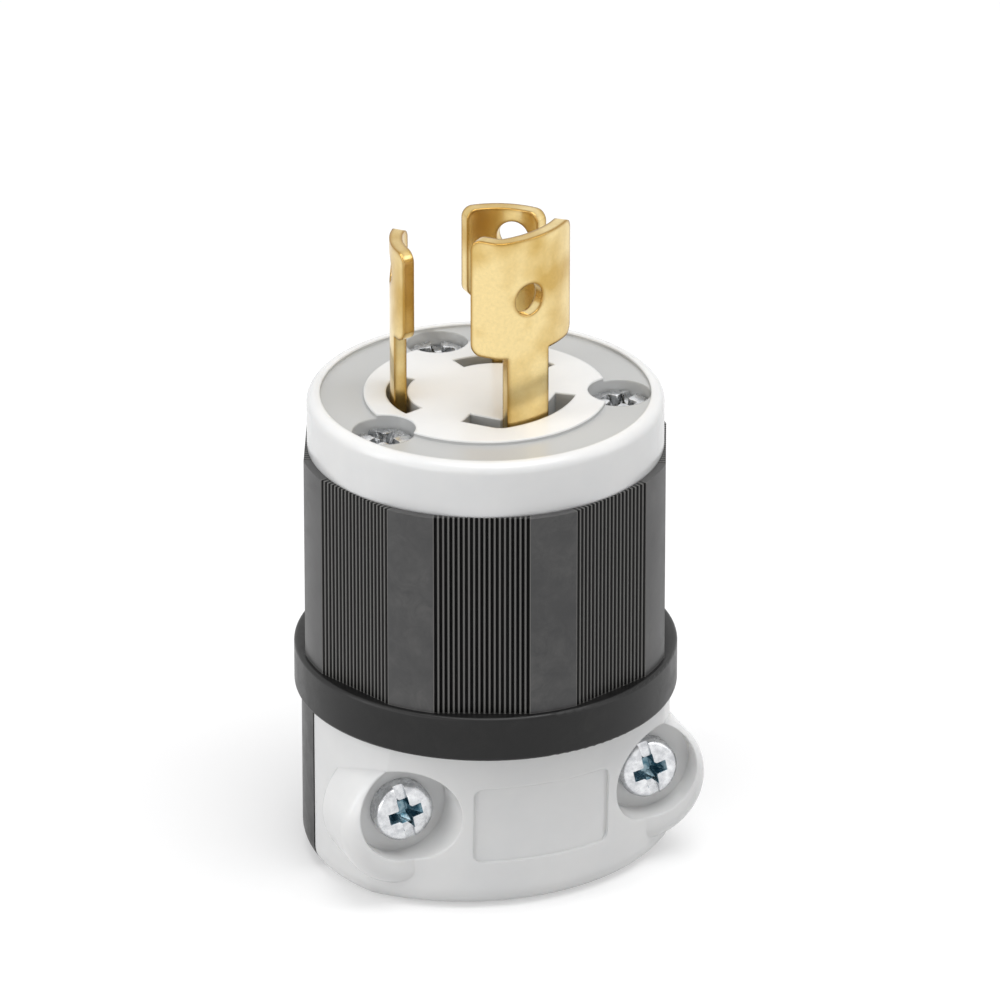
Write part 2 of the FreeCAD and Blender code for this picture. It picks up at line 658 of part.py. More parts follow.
def build_parts():
    parts = {
        "housing": make_housing(),
        "cord_clamp": make_cord_clamp(),
        "nose": make_nose(),
        "terminal_retainer": make_retainer(),
        "dust_seal": make_seal(),
    }
    for name, blade in BLADES.items():
        parts["blade_" + name] = make_blade(blade)
        parts["terminal_screw_" + name] = seated(make_terminal_screw(), blade)
        parts["pressure_plate_" + name] = seated(make_pressure_plate(), blade)
    for number, degrees in enumerate(ASSEMBLY_DEG, 1):
        place = polar(ASSEMBLY_PITCH_R, degrees)
        parts["assembly_screw_%d" % number] = make_assembly_screw(place, 37.0 * number)
    for name, side in (("left", -1), ("right", 1)):
        parts["clamp_screw_" + name] = make_clamp_screw(side)
        parts["clamp_nut_" + name] = make_clamp_nut(side)
    return parts


os.makedirs("parts", exist_ok=True)
for node, shape in build_parts().items():
    if not shape.isValid() or len(shape.Solids) != 1:
        raise ValueError("%s is not one valid solid" % node)
    shape.Solids[0].exportStep("parts/%s.step" % node)
    print(node, round(shape.Volume, 1), len(shape.Faces))
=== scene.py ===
"""Dresses the locking power plug: moulded nylon, brass blades, plated screws and a pale studio."""

import math

import bpy
from bpy.props import FloatProperty, FloatVectorProperty, IntProperty, PointerProperty
from bpy.types import Operator, Panel, PropertyGroup
from mathutils import Matrix, Vector


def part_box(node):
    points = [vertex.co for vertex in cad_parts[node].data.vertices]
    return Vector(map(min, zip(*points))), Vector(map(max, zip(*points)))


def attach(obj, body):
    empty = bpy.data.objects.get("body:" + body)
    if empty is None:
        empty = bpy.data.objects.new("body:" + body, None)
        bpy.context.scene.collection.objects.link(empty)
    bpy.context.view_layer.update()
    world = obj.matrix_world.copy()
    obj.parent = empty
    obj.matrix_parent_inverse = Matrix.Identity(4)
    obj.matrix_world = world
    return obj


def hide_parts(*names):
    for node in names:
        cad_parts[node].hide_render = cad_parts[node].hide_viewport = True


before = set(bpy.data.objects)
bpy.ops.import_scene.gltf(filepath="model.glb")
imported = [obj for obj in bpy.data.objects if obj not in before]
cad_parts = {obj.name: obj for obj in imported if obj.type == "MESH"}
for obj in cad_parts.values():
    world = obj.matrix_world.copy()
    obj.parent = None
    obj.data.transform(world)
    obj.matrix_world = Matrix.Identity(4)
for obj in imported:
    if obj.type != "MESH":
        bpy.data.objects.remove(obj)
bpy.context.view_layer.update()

bl_info = {
    "name": "Locking plug looks",
    "version": (1, 0, 0),
    "blender": (4, 5, 0),
    "location": "3D View > Sidebar > Plug",
    "description": "Finishes for a round locking power plug",
    "category": "Object",
}

BODY = "root"
MM = 0.001

# Nodes of the CAD model
CLAMP_SCREWS = ("clamp_screw_left", "clamp_screw_right")
ASSEMBLY_SCREWS = ("assembly_screw_1", "assembly_screw_2", "assembly_screw_3")
BLADES = ("blade_ground", "blade_line", "blade_neutral")
PLATES = ("pressure_plate_ground", "pressure_plate_line", "pressure_plate_neutral")
NUTS = ("clamp_nut_left", "clamp_nut_right")

# Moulded grip: its ribbed flats, as the CAD model has them
GRIP_FLATS = 8
GRIP_BOTTOM = 22.47 * MM
FLAT_HALF_WIDTH = 4.76 * MM
RIB_PITCH = 0.5 * MM
# Where the painted shade of a groove ends and the painted highlight of a rib's crest is full, as
# shares of the pitch
GROOVE_END = 0.26
RIB_START = 0.42

# Nose: width of its plain rim, and the depth from which its surface counts as sunk and gets painted
# shade
NOSE_RIM = 1.25 * MM
SUNK_DEPTH = 0.15 * MM

# Roundings of the edges in the finish, and reach of the brown painted shade and dark reflection
# along the blades' edges
BLACK_EDGE = 0.07 * MM
WHITE_EDGE = 0.3 * MM
BRASS_EDGE = 0.3 * MM
BRASS_SHADE_REACH = 0.8 * MM
PLATED_EDGE = 0.06 * MM

# Second tones of the finishes
# Paler black of the grip: its satin finish, lifted by painted reflection
SATIN_REFLECTION_BLACK = (0.055, 0.055, 0.056, 1.0)
SATIN_REFLECTION_BLACK_WORN = (0.115, 0.113, 0.11, 1.0)
# Painted shade in the grip's grooves, and painted highlight on its rib crests and edges (partly
# wear)
GROOVE_SHADE_BLACK = (0.002, 0.002, 0.002, 1.0)
HIGHLIGHT_GREY = (0.145, 0.142, 0.136, 1.0)
RUBBER_WORN = (0.05, 0.05, 0.05, 1.0)
ZINC_PALE = (0.86, 0.87, 0.88, 1.0)
# Recess platings: painted shade, with a blue tint in the clamp screws' recesses
ZINC_BLUE_SHADE_PALE = (0.42, 0.53, 0.58, 1.0)
ZINC_GREY_SHADE_PALE = (0.62, 0.63, 0.64, 1.0)
NUT_ZINC_PALE = (0.7, 0.71, 0.73, 1.0)
GREEN_PALE = (0.08, 0.36, 0.16, 1.0)

# Least roughness of each metal finish
BLADE_ROUGHNESS = 0.25
PLATE_ROUGHNESS = 0.42
SCREW_ROUGHNESS = 0.2
NUT_ROUGHNESS = 0.24

# Screws: head and shank as in the CAD model, and turn of each slot
HEAD_HEIGHT = 2.0 * MM
SHANK_RADIUS = 1.75 * MM
CLAMP_SLOT_TURN = math.radians(103)
ASSEMBLY_SLOT_TURNS = (math.radians(37), math.radians(74), math.radians(111))
# Cross recess: scale of a wing's bottom, how far its cutter stands out, start of its plating with
# painted shade
WING_TAPER = (0.34, 0.72, 1.0)
CUTTER_RISE = 0.4 * MM
RECESS_SHADE_DEPTH = 0.12 * MM
# Crown: width of a ring as a share of the radius, and rise of each ring as a share of the crown
CROWN_RING = 0.17
CROWN_RISES = (0.46, 0.34, 0.22, 0.1)
# Thread: depth of its foot in the shank, half widths of foot and crest as shares of the pitch
THREAD_ROOT = 0.08 * MM
THREAD_FOOT = 0.42
THREAD_CREST = 0.07
THREAD_STEPS = 24
SHANK_POINT = 0.45
SCREW_EDGE = 0.05 * MM

# Studio
FLOOR_GREY = (0.6, 0.6, 0.6, 1.0)
FLOOR_GREY_PALE = (0.63, 0.63, 0.63, 1.0)
FLOOR_GLOW = 0.42
ROOM_GREY = (0.36, 0.36, 0.365, 1.0)
WHITE = (1.0, 1.0, 1.0, 1.0)
LAMP_AIM_HEIGHT = 35 * MM


def metres(name, default, note):
    return FloatProperty(name=name, description=note, default=default, min=0.0, unit="LENGTH",
                         precision=5)


def colour(name, default, note):
    return FloatVectorProperty(name=name, description=note, default=default, size=4, min=0.0,
                               max=1.0, subtype="COLOR")


class PlugScrewSizes(PropertyGroup):
    """Sizes of the plated combination screws."""

    slot_width: metres("Slot width", 1.05 * MM, "Width of the straight slot")
    slot_depth: metres("Slot depth", 0.8 * MM, "Depth of the straight slot")
    wing_length: metres("Wing length", 4.1 * MM, "Span of the cross recess")
    wing_width: metres("Wing width", 1.25 * MM, "Width of one wing of the cross at the top")
    wing_depth: metres("Wing depth", 1.75 * MM, "Depth of the cross recess")
    core_width: metres("Core width", 2.1 * MM, "Width of the middle of the cross recess")
    head_round: metres("Head rounding", 0.55 * MM, "Rounding of the head's upper edge")
    crown: metres("Crown", 0.16 * MM, "How far the middle of the head stands above its rim")
    thread_pitch: metres("Thread pitch", 0.8 * MM, "Pitch of the thread")
    thread_depth: metres("Thread depth", 0.3 * MM, "Depth of the thread")
    sides: IntProperty(name="Sides", description="Segments round a screw's head", default=96,
                       min=16, max=256)


class PlugColours(PropertyGroup):
    """Colours of the finishes."""

    black: colour("Black nylon", (0.0035, 0.0035, 0.0036, 1.0), "Collar and rear shell")
    black_worn: colour("Handled nylon", (0.014, 0.0135, 0.013, 1.0), "Paler smudges on them")
    white: colour("White nylon", (0.83, 0.83, 0.822, 1.0), "Nose and cord clamp")
    white_deep: colour("White nylon in depth", (0.775, 0.78, 0.78, 1.0), "Cloudy parts of the white")
    # Painted shade in the nose's sunk band and wells
    white_sunk_shade: colour("Painted shade of sunk white nylon", (0.5, 0.505, 0.5, 1.0), "Band and wells of the nose")
    brass: colour("Brass", (0.83, 0.655, 0.32, 1.0), "Blades")
    brass_dark: colour("Dull brass", (0.6, 0.4, 0.12, 1.0), "Dull patches of the blades")
    # Painted shade and dark reflection along the blades' edges, folds and hole walls
    brass_edge_shade: colour("Brass edge shade and reflection", (0.36, 0.19, 0.03, 1.0), "Edges of the blades")
    zinc: colour("Zinc plating", (0.52, 0.53, 0.55, 1.0), "Screws")
    # Painted shade in the clamp screws' recesses, with a blue tint
    zinc_blue_recess_shade: colour("Blue plating and recess shade", (0.06, 0.15, 0.2, 1.0), "Recesses of the clamp screws")
    # Painted shade in the nose screws' recesses
    zinc_grey_recess_shade: colour("Painted recess shade grey", (0.1, 0.105, 0.11, 1.0), "Recesses of the nose screws")
    green: colour("Green plating", (0.05, 0.3, 0.12, 1.0), "Ground terminal screw")
    rubber: colour("Rubber", (0.03, 0.03, 0.03, 1.0), "Dust seal")


class PlugStudio(PropertyGroup):
    """Camera and floor."""

    azimuth: FloatProperty(name="Azimuth", description="Camera direction round the plug",
                           default=math.radians(-21.3), subtype="ANGLE")
    elevation: FloatProperty(name="Elevation", description="Camera height above the floor",
                             default=math.radians(26.1), subtype="ANGLE")
    distance: metres("Distance", 1.0, "Camera to the plug's collar")
    aim_height: metres("Aim height", 17.75 * MM, "Height that the camera's distance is taken from")
    aim_right: metres("Aim right", 1.434 * MM, "Middle of the picture, right of the axis")
    aim_up: metres("Aim up", 17.611 * MM, "Middle of the picture, above the aim height")
    lens: FloatProperty(name="Lens", description="Focal length in millimetres", default=361.4)
    floor: metres("Floor", 6.0, "Side of the square floor")


# Node trees

def add_node(tree, kind, x, y, **values):
    """Adds a node with constants on its inputs; an underscore stands for a space."""
    made = tree.nodes.new(kind)
    made.location = (x, y)
    for name, value in values.items():
        made.inputs[name.replace("_", " ")].default_value = value
    return made


def feed(tree, socket, value):
    """Links an output socket to an input, or sets the input to a constant."""
    if isinstance(value, bpy.types.NodeSocket):
        tree.links.new(value, socket)
    else:
        socket.default_value = value


def mix_colour(tree, x, y, factor, first, second, blend="MIX"):
    """Mix node: each argument is an output socket or a constant."""
    made = tree.nodes.new("ShaderNodeMix")
    made.location = (x, y)
    made.data_type = "RGBA"
    made.blend_type = blend
    sockets = (made.inputs[0], made.inputs[6], made.inputs[7])
    for socket, value in zip(sockets, (factor, first, second)):
        feed(tree, socket, value)
    return made.outputs[2]


def map_range(tree, x, y, value, low, high, to_low=0.0, to_high=1.0):
    made = add_node(tree, "ShaderNodeMapRange", x, y, From_Min=low, From_Max=high, To_Min=to_low,
                    To_Max=to_high)
    tree.links.new(value, made.inputs["Value"])
    return made.outputs["Result"]


def noise(tree, x, y, vector, scale, detail, roughness, distortion=0.0):
    """Noise texture: its scale is an output socket or a number."""
    made = add_node(tree, "ShaderNodeTexNoise", x, y, Detail=detail, Roughness=roughness,
                    Distortion=distortion)
    tree.links.new(vector, made.inputs["Vector"])
    feed(tree, made.inputs["Scale"], scale)
    return made.outputs["Fac"]


def calculate(tree, operation, *values):
    """Math node: each value is an output socket or a number."""
    made = tree.nodes.new("ShaderNodeMath")
    made.operation = operation
    for socket, value in zip(made.inputs, values):
        feed(tree, socket, value)
    return made.outputs[0]


def object_place(tree, x, y):
    """Object coordinates as a vector."""
    return add_node(tree, "ShaderNodeTexCoord", x, y).outputs["Object"]


def split_place(tree, x, y):
    """Object coordinates as three numbers, and the distance from the plug's axis."""
    split = add_node(tree, "ShaderNodeSeparateXYZ", x + 200, y)
    tree.links.new(object_place(tree, x, y), split.inputs[0])
    across, depth, height = split.outputs
    squares = calculate(tree, "ADD", calculate(tree, "MULTIPLY", across, across),
                        calculate(tree, "MULTIPLY", depth, depth))
    return across, depth, height, calculate(tree, "SQRT", squares)


def new_group(name, inputs, outputs):
    """Shader node group with the named number inputs and outputs."""
    tree = bpy.data.node_groups.new(name, "ShaderNodeTree")
    for label, default in inputs:
        socket = tree.interface.new_socket(label, in_out="INPUT", socket_type="NodeSocketFloat")
        socket.default_value = default
    for label in outputs:
        tree.interface.new_socket(label, in_out="OUTPUT", socket_type="NodeSocketFloat")
    return tree, tree.nodes.new("NodeGroupInput"), tree.nodes.new("NodeGroupOutput")


def place_group(tree, group, x, y, **values):
    """Places a node group with constants on its inputs; an underscore stands for a space."""
    made = add_node(tree, "ShaderNodeGroup", x, y)
    made.node_tree = group
    for name, value in values.items():
        made.inputs[name.replace("_", " ")].default_value = value
    return made


def moulded_group():
    """Cloudiness, fine grain and handling marks that moulded nylon and rubber show."""
    name = "Moulded surface"
    if name in bpy.data.node_groups:
        return bpy.data.node_groups[name]
    tree, given, out = new_group(name, (("Cloud Scale", 180.0), ("Grain Scale", 9000.0),
                                        ("Scuff Scale", 900.0)), ("Cloud", "Grain", "Scuff"))
    place = object_place(tree, -900, 0)
    cloud = noise(tree, -600, 200, place, given.outputs["Cloud Scale"], 4.0, 0.6)
    grain = noise(tree, -600, -50, place, given.outputs["Grain Scale"], 2.0, 0.5)
    scuff = noise(tree, -600, -300, place, given.outputs["Scuff Scale"], 6.0, 0.72, 0.6)
    for value, result in ((cloud, "Cloud"), (grain, "Grain"), (scuff, "Scuff")):
        tree.links.new(map_range(tree, -300, 0, value, 0.3, 0.7), out.inputs[result])
    return tree


def rolled_group():
    """Blotches, specks and fine rolling lines of metal strip."""
    name = "Rolled surface"
    if name in bpy.data.node_groups:
        return bpy.data.node_groups[name]
    tree, given, out = new_group(name, (("Blotch Scale", 160.0), ("Speck Scale", 2900.0),
                                        ("Line Scale", 8300.0)), ("Blotch", "Speck", "Line"))
    place = object_place(tree, -1100, 0)
    blotch = noise(tree, -600, 250, place, given.outputs["Blotch Scale"], 2.5, 0.5)
    speck = noise(tree, -600, 0, place, given.outputs["Speck Scale"], 4.0, 0.6)
    stretch = add_node(tree, "ShaderNodeMapping", -850, -250, Scale=(1.0, 1.0, 0.06))
    tree.links.new(place, stretch.inputs["Vector"])
    line = noise(tree, -600, -250, stretch.outputs["Vector"], given.outputs["Line Scale"], 2.0, 0.5)
    for value, result in ((blotch, "Blotch"), (speck, "Speck"), (line, "Line")):
        tree.links.new(value, out.inputs[result])
    return tree


def plated_group():
    """Cloudy patches and fine pits of plating."""
    name = "Plated surface"
    if name in bpy.data.node_groups:
        return bpy.data.node_groups[name]
    tree, given, out = new_group(name, (("Patch Scale", 1100.0), ("Pit Scale", 6200.0)),
                                 ("Patch", "Pit"))
    place = object_place(tree, -900, 0)
    patch = noise(tree, -600, 150, place, given.outputs["Patch Scale"], 4.0, 0.6)
    pit = noise(tree, -600, -150, place, given.outputs["Pit Scale"], 3.0, 0.6)
    tree.links.new(patch, out.inputs["Patch"])
    tree.links.new(pit, out.inputs["Pit"])
    return tree


def soft_edge_group():
    """Normal with rounded edges, and a mask of the edges."""
    name = "Soft edges"
    if name in bpy.data.node_groups:
        return bpy.data.node_groups[name]
    tree, given, out = new_group(name, (("Radius", 0.1 * MM),), ("Edge",))
    tree.interface.new_socket("Normal", in_out="OUTPUT", socket_type="NodeSocketVector")
    rounded = add_node(tree, "ShaderNodeBevel", -600, 0)
    rounded.samples = 8
    tree.links.new(given.outputs["Radius"], rounded.inputs["Radius"])
    sharp = add_node(tree, "ShaderNodeNewGeometry", -600, -200)
    agree = add_node(tree, "ShaderNodeVectorMath", -400, -100)
    agree.operation = "DOT_PRODUCT"
    tree.links.new(rounded.outputs["Normal"], agree.inputs[0])
    tree.links.new(sharp.outputs["Normal"], agree.inputs[1])
    tree.links.new(map_range(tree, -200, 100, agree.outputs["Value"], 0.995, 0.86),
                   out.inputs["Edge"])
    tree.links.new(rounded.outputs["Normal"], out.inputs["Normal"])
    return tree


def grip_group():
    """Masks of the moulded grip: its ribbed flats, the tops of their ribs that carry painted
    highlight over painted groove shade, and the whole grip.
    """
    name = "Grip ribs"
    if name in bpy.data.node_groups:
        return bpy.data.node_groups[name]
    tree, given, out = new_group(name, (("Pitch", RIB_PITCH), ("Half Width", FLAT_HALF_WIDTH),
                                        ("Bottom", GRIP_BOTTOM)), ("Flat", "Rib", "Grip"))
    across, depth, height, reach = split_place(tree, -1400, 0)
    step = 2 * math.pi / GRIP_FLATS
    turn = calculate(tree, "SUBTRACT", calculate(tree, "ARCTAN2", depth, across), step / 2)
    count = calculate(tree, "ROUND", calculate(tree, "DIVIDE", turn, step))
    off = calculate(tree, "SUBTRACT", turn, calculate(tree, "MULTIPLY", count, step))
    along = calculate(tree, "MULTIPLY", reach, calculate(tree, "SINE", off))
    above = calculate(tree, "GREATER_THAN", height, given.outputs["Bottom"])
    inside = calculate(tree, "LESS_THAN", calculate(tree, "ABSOLUTE", along),
                       given.outputs["Half Width"])
    ridge = calculate(tree, "PINGPONG", calculate(tree, "DIVIDE", along, given.outputs["Pitch"]),
                      0.5)
    tree.links.new(calculate(tree, "MULTIPLY", above, inside), out.inputs["Flat"])
    tree.links.new(map_range(tree, -200, -200, ridge, GROOVE_END, RIB_START), out.inputs["Rib"])
    tree.links.new(above, out.inputs["Grip"])
    return tree


# Materials

def new_material(name):
    """Material with a Principled shader: gives the material, its tree and the shader."""
    material = bpy.data.materials.new(name)
    material.use_nodes = True
    tree = material.node_tree
    return material, tree, tree.nodes["Principled BSDF"]


def add_bump(tree, shader, height, distance, strength, edge=0.0):
    """Fine relief over edges rounded by the given radius: gives the mask of those edges."""
    bump = add_node(tree, "ShaderNodeBump", -250, -300, Strength=strength, Distance=distance)
    tree.links.new(height, bump.inputs["Height"])
    tree.links.new(bump.outputs["Normal"], shader.inputs["Normal"])
    if not edge:
        return None
    soft = place_group(tree, soft_edge_group(), -500, -450, Radius=edge)
    tree.links.new(soft.outputs["Normal"], bump.inputs["Normal"])
    return soft.outputs["Edge"]


def vary_roughness(tree, shader, value, low, high, start, end):
    """Roughness that goes from start to end while the value goes from low to high."""
    tree.links.new(map_range(tree, -400, 0, value, low, high, start, end),
                   shader.inputs["Roughness"])


def black_nylon(colours):
    """Black glass-filled nylon: satin grip made paler by painted reflection, painted highlight on
    rib crests and edges, painted shade in the grooves; smoother and darker elsewhere.
    """
    name = "Black nylon"
    if name in bpy.data.materials:
        return bpy.data.materials[name]
    material, tree, shader = new_material(name)
    surface = place_group(tree, moulded_group(), -1500, 0, Cloud_Scale=160.0,
                          Grain_Scale=7000.0, Scuff_Scale=420.0)
    grip = place_group(tree, grip_group(), -1500, -300, Pitch=RIB_PITCH,
                       Half_Width=FLAT_HALF_WIDTH, Bottom=GRIP_BOTTOM)
    scuff = surface.outputs["Scuff"]
    edge = add_bump(tree, shader, surface.outputs["Grain"], 0.004 * MM, 0.6, BLACK_EDGE)
    wear = calculate(tree, "MULTIPLY", surface.outputs["Cloud"], scuff)
    smooth = mix_colour(tree, -1000, 200, wear, tuple(colours.black), tuple(colours.black_worn))
    # Grip's satin black, lifted by painted reflection
    satin = mix_colour(tree, -1000, 0, wear, SATIN_REFLECTION_BLACK, SATIN_REFLECTION_BLACK_WORN)
    # Painted shade in the grooves, painted highlight on the rib crests
    ribs = mix_colour(tree, -1000, -200, grip.outputs["Rib"], GROOVE_SHADE_BLACK, HIGHLIGHT_GREY)
    zoned = mix_colour(tree, -700, 100, grip.outputs["Grip"], smooth, satin)
    # Edges lightened: wear, and painted highlight
    plain = mix_colour(tree, -550, 200, calculate(tree, "MULTIPLY", edge, 0.55), zoned, HIGHLIGHT_GREY)
    tone = mix_colour(tree, -400, 100, grip.outputs["Flat"], plain, ribs)
    tree.links.new(tone, shader.inputs["Base Color"])
    vary_roughness(tree, shader, scuff, 0.0, 1.0, 0.32, 0.46)
    shader.inputs["Specular IOR Level"].default_value = 0.34
    return material


def sunk_shade_mask(tree, face, rim):
    """Mask of what lies below the face's height, within the rim's radius: where shade is painted."""
    _, _, height, reach = split_place(tree, -1500, 500)
    below = calculate(tree, "LESS_THAN", height, face - SUNK_DEPTH)
    return calculate(tree, "MULTIPLY", below, calculate(tree, "LESS_THAN", reach, rim))


def white_nylon(colours, name, face=None, rim=None):
    """Natural white nylon that lets a little light in; what is sunk in a face is greyer by painted
    shade.
    """
    material, tree, shader = new_material(name)
    surface = place_group(tree, moulded_group(), -900, 0, Cloud_Scale=110.0,
                          Grain_Scale=5200.0, Scuff_Scale=600.0)
    tint = mix_colour(tree, -400, 200, surface.outputs["Cloud"], tuple(colours.white_deep),
                      tuple(colours.white))
    if face is not None:
        # Painted shade in the nose's band, wells and slots
        tint = mix_colour(tree, -200, 300, sunk_shade_mask(tree, face, rim), tint,
                          tuple(colours.white_sunk_shade))
    tree.links.new(tint, shader.inputs["Base Color"])
    vary_roughness(tree, shader, surface.outputs["Scuff"], 0.0, 1.0, 0.17, 0.27)
    shader.inputs["Subsurface Weight"].default_value = 0.35
    shader.inputs["Subsurface Radius"].default_value = (1.0, 0.95, 0.9)
    shader.inputs["Subsurface Scale"].default_value = 1.2 * MM
    add_bump(tree, shader, surface.outputs["Grain"], 0.002 * MM, 0.5, WHITE_EDGE)
    return material


def brass(colours, name, dull):
    """Rolled brass strip: faintly mottled, with fine rolling lines, and brown painted shade and dark
    reflection along its edges, folds and hole walls.
    """
    material, tree, shader = new_material(name)
    surface = place_group(tree, rolled_group(), -1000, 0, Blotch_Scale=1 / (6.0 * MM),
                          Speck_Scale=1 / (0.35 * MM), Line_Scale=1 / (0.12 * MM))
    blotch = surface.outputs["Blotch"]
    patch = map_range(tree, -650, 250, blotch, 0.34, 0.56)
    tint = mix_colour(tree, -400, 250, patch, tuple(colours.brass_dark), tuple(colours.brass))
    bright = map_range(tree, -650, 0, surface.outputs["Speck"], 0.3, 0.7, 0.94, 1.03)
    tone = mix_colour(tree, -200, 250, 1.0, tint, bright, "MULTIPLY")
    add_bump(tree, shader, surface.outputs["Line"], 0.002 * MM, 0.3, BRASS_EDGE)
    # Brown along edges, folds and hole walls: painted shade and dark reflection
    rim = place_group(tree, soft_edge_group(), -500, 500, Radius=BRASS_SHADE_REACH).outputs["Edge"]
    edge_shaded = mix_colour(tree, 0, 250, calculate(tree, "MULTIPLY", rim, 0.8), tone,
                        tuple(colours.brass_edge_shade))
    tree.links.new(edge_shaded, shader.inputs["Base Color"])
    vary_roughness(tree, shader, blotch, 0.3, 0.7, dull, dull - 0.09)
    shader.inputs["Metallic"].default_value = 1.0
    return material


def plating(name, tint, pale, rough):
    """Bright plating over turned steel, made once for all that have it."""
    if name in bpy.data.materials:
        return bpy.data.materials[name]
    material, tree, shader = new_material(name)
    surface = place_group(tree, plated_group(), -850, 0, Patch_Scale=1 / (0.9 * MM),
                          Pit_Scale=1 / (0.16 * MM))
    patch = surface.outputs["Patch"]
    tone = mix_colour(tree, -300, 200, map_range(tree, -550, 200, patch, 0.35, 0.7), tuple(tint),
                      pale)
    tree.links.new(tone, shader.inputs["Base Color"])
    vary_roughness(tree, shader, patch, 0.3, 0.7, rough, rough + 0.14)
    shader.inputs["Metallic"].default_value = 1.0
    add_bump(tree, shader, surface.outputs["Pit"], 0.02 * MM, 0.7, PLATED_EDGE)
    return material


def rubber(colours):
    """Soft black rubber with a dry surface."""
    material, tree, shader = new_material("Seal rubber")
    surface = place_group(tree, moulded_group(), -900, 0, Cloud_Scale=240.0,
                          Grain_Scale=4000.0, Scuff_Scale=800.0)
    tint = mix_colour(tree, -400, 200, surface.outputs["Cloud"], tuple(colours.rubber),
                      RUBBER_WORN)
    tree.links.new(tint, shader.inputs["Base Color"])
    vary_roughness(tree, shader, surface.outputs["Scuff"], 0.0, 1.0, 0.6, 0.8)
    add_bump(tree, shader, surface.outputs["Grain"], 0.01 * MM, 0.6)
    return material


def dress(node, material):
    """Gives a CAD node one material."""
    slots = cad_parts[node].data.materials
    slots.clear()
    slots.append(material)


# Modelling helpers

def deselect():
    if bpy.context.mode != "OBJECT":
        bpy.ops.object.mode_set(mode="OBJECT")
    bpy.ops.object.select_all(action="DESELECT")


def activate(obj):
    deselect()
    obj.select_set(True)
    bpy.context.view_layer.objects.active = obj


def apply_modifier(obj, kind, **settings):
    activate(obj)
    modifier = obj.modifiers.new(kind.title(), kind)
    for name, value in settings.items():
        setattr(modifier, name, value)
    bpy.ops.object.modifier_apply(modifier=modifier.name)


def cut(obj, tool):
    """Takes the tool's shape out of an object, and the tool out of the scene."""
    apply_modifier(obj, "BOOLEAN", object=tool, operation="DIFFERENCE", solver="MANIFOLD")
    bpy.data.objects.remove(tool)


def bake_place():
    """Moves the active object's place, turn and scale into its mesh."""
    bpy.ops.object.transform_apply(location=True, rotation=True, scale=True)
    return bpy.context.active_object


def add_block(size, centre):
    deselect()
    bpy.ops.mesh.primitive_cube_add(size=1.0, location=centre)
    bpy.context.active_object.scale = size
    return bake_place()


def add_cylinder(sides, radius, low, high):
    """Cylinder on the z axis between two heights."""
    deselect()
    bpy.ops.mesh.primitive_cylinder_add(vertices=sides, radius=radius, depth=high - low,
                                        location=(0, 0, (low + high) / 2))
    return bake_place()


def select_faces(obj, wanted):
    """Enters edit mode with only the faces chosen by the test selected."""
    activate(obj)
    bpy.ops.object.mode_set(mode="EDIT")
    bpy.ops.mesh.select_mode(type="FACE")
    bpy.ops.mesh.select_all(action="DESELECT")
    bpy.ops.object.mode_set(mode="OBJECT")
    for face in obj.data.polygons:
        face.select = wanted(face)
    bpy.ops.object.mode_set(mode="EDIT")


def leave_edit():
    bpy.ops.object.mode_set(mode="OBJECT")


def join(parts, name):
    """Joins objects into the first one."""
    deselect()
    for part in parts:
        part.select_set(True)
    bpy.context.view_layer.objects.active = parts[0]
    bpy.ops.object.join()
    parts[0].name = name
    parts[0].data.name = name
    return parts[0]


# Screws

def tapered_wing(length, width, depth, turn):
    """Cutter for one pair of wings of a cross recess, narrower towards its bottom."""
    wing = add_block((length, width, depth + CUTTER_RISE),
                     (0, 0, HEAD_HEIGHT + (CUTTER_RISE - depth) / 2))
    select_faces(wing, lambda face: face.normal.z < -0.9)
    bpy.ops.transform.resize(value=WING_TAPER, center_override=(0, 0, HEAD_HEIGHT - depth))
    leave_edit()
    wing.data.transform(Matrix.Rotation(turn, 4, "Z"))
    return wing


def screw_head(radius, sizes):
    """Binding head with a slot and a cross recess, its underside at z = 0."""
    head = add_cylinder(sizes.sides, radius, 0.0, HEAD_HEIGHT - sizes.crown)
    select_faces(head, lambda face: face.normal.z > 0.9)
    bpy.ops.mesh.bevel(offset=sizes.head_round, segments=6, profile=0.5, affect="EDGES")
    leave_edit()
    select_faces(head, lambda face: face.normal.z > 0.9999)
    for rise in CROWN_RISES:
        bpy.ops.mesh.inset(thickness=radius * CROWN_RING, depth=sizes.crown * rise)
    leave_edit()
    cut(head, add_block((4 * radius, sizes.slot_width, 2 * sizes.slot_depth),
                        (0, 0, HEAD_HEIGHT)))
    for turn in (0.0, math.pi / 2):
        cut(head, tapered_wing(sizes.wing_length, sizes.wing_width, sizes.wing_depth, turn))
    cut(head, tapered_wing(sizes.core_width, sizes.core_width, sizes.wing_depth, math.pi / 4))
    return head


def screw_shank(length, sizes):
    """Core of the shank below z = 0, with a short cone at its tip."""
    core = SHANK_RADIUS - sizes.thread_depth
    shank = add_cylinder(sizes.sides // 2, core, -length, 0.0)
    select_faces(shank, lambda face: face.normal.z < -0.9)
    bpy.ops.mesh.bevel(offset=SHANK_POINT * core, segments=1, affect="EDGES")
    leave_edit()
    return shank


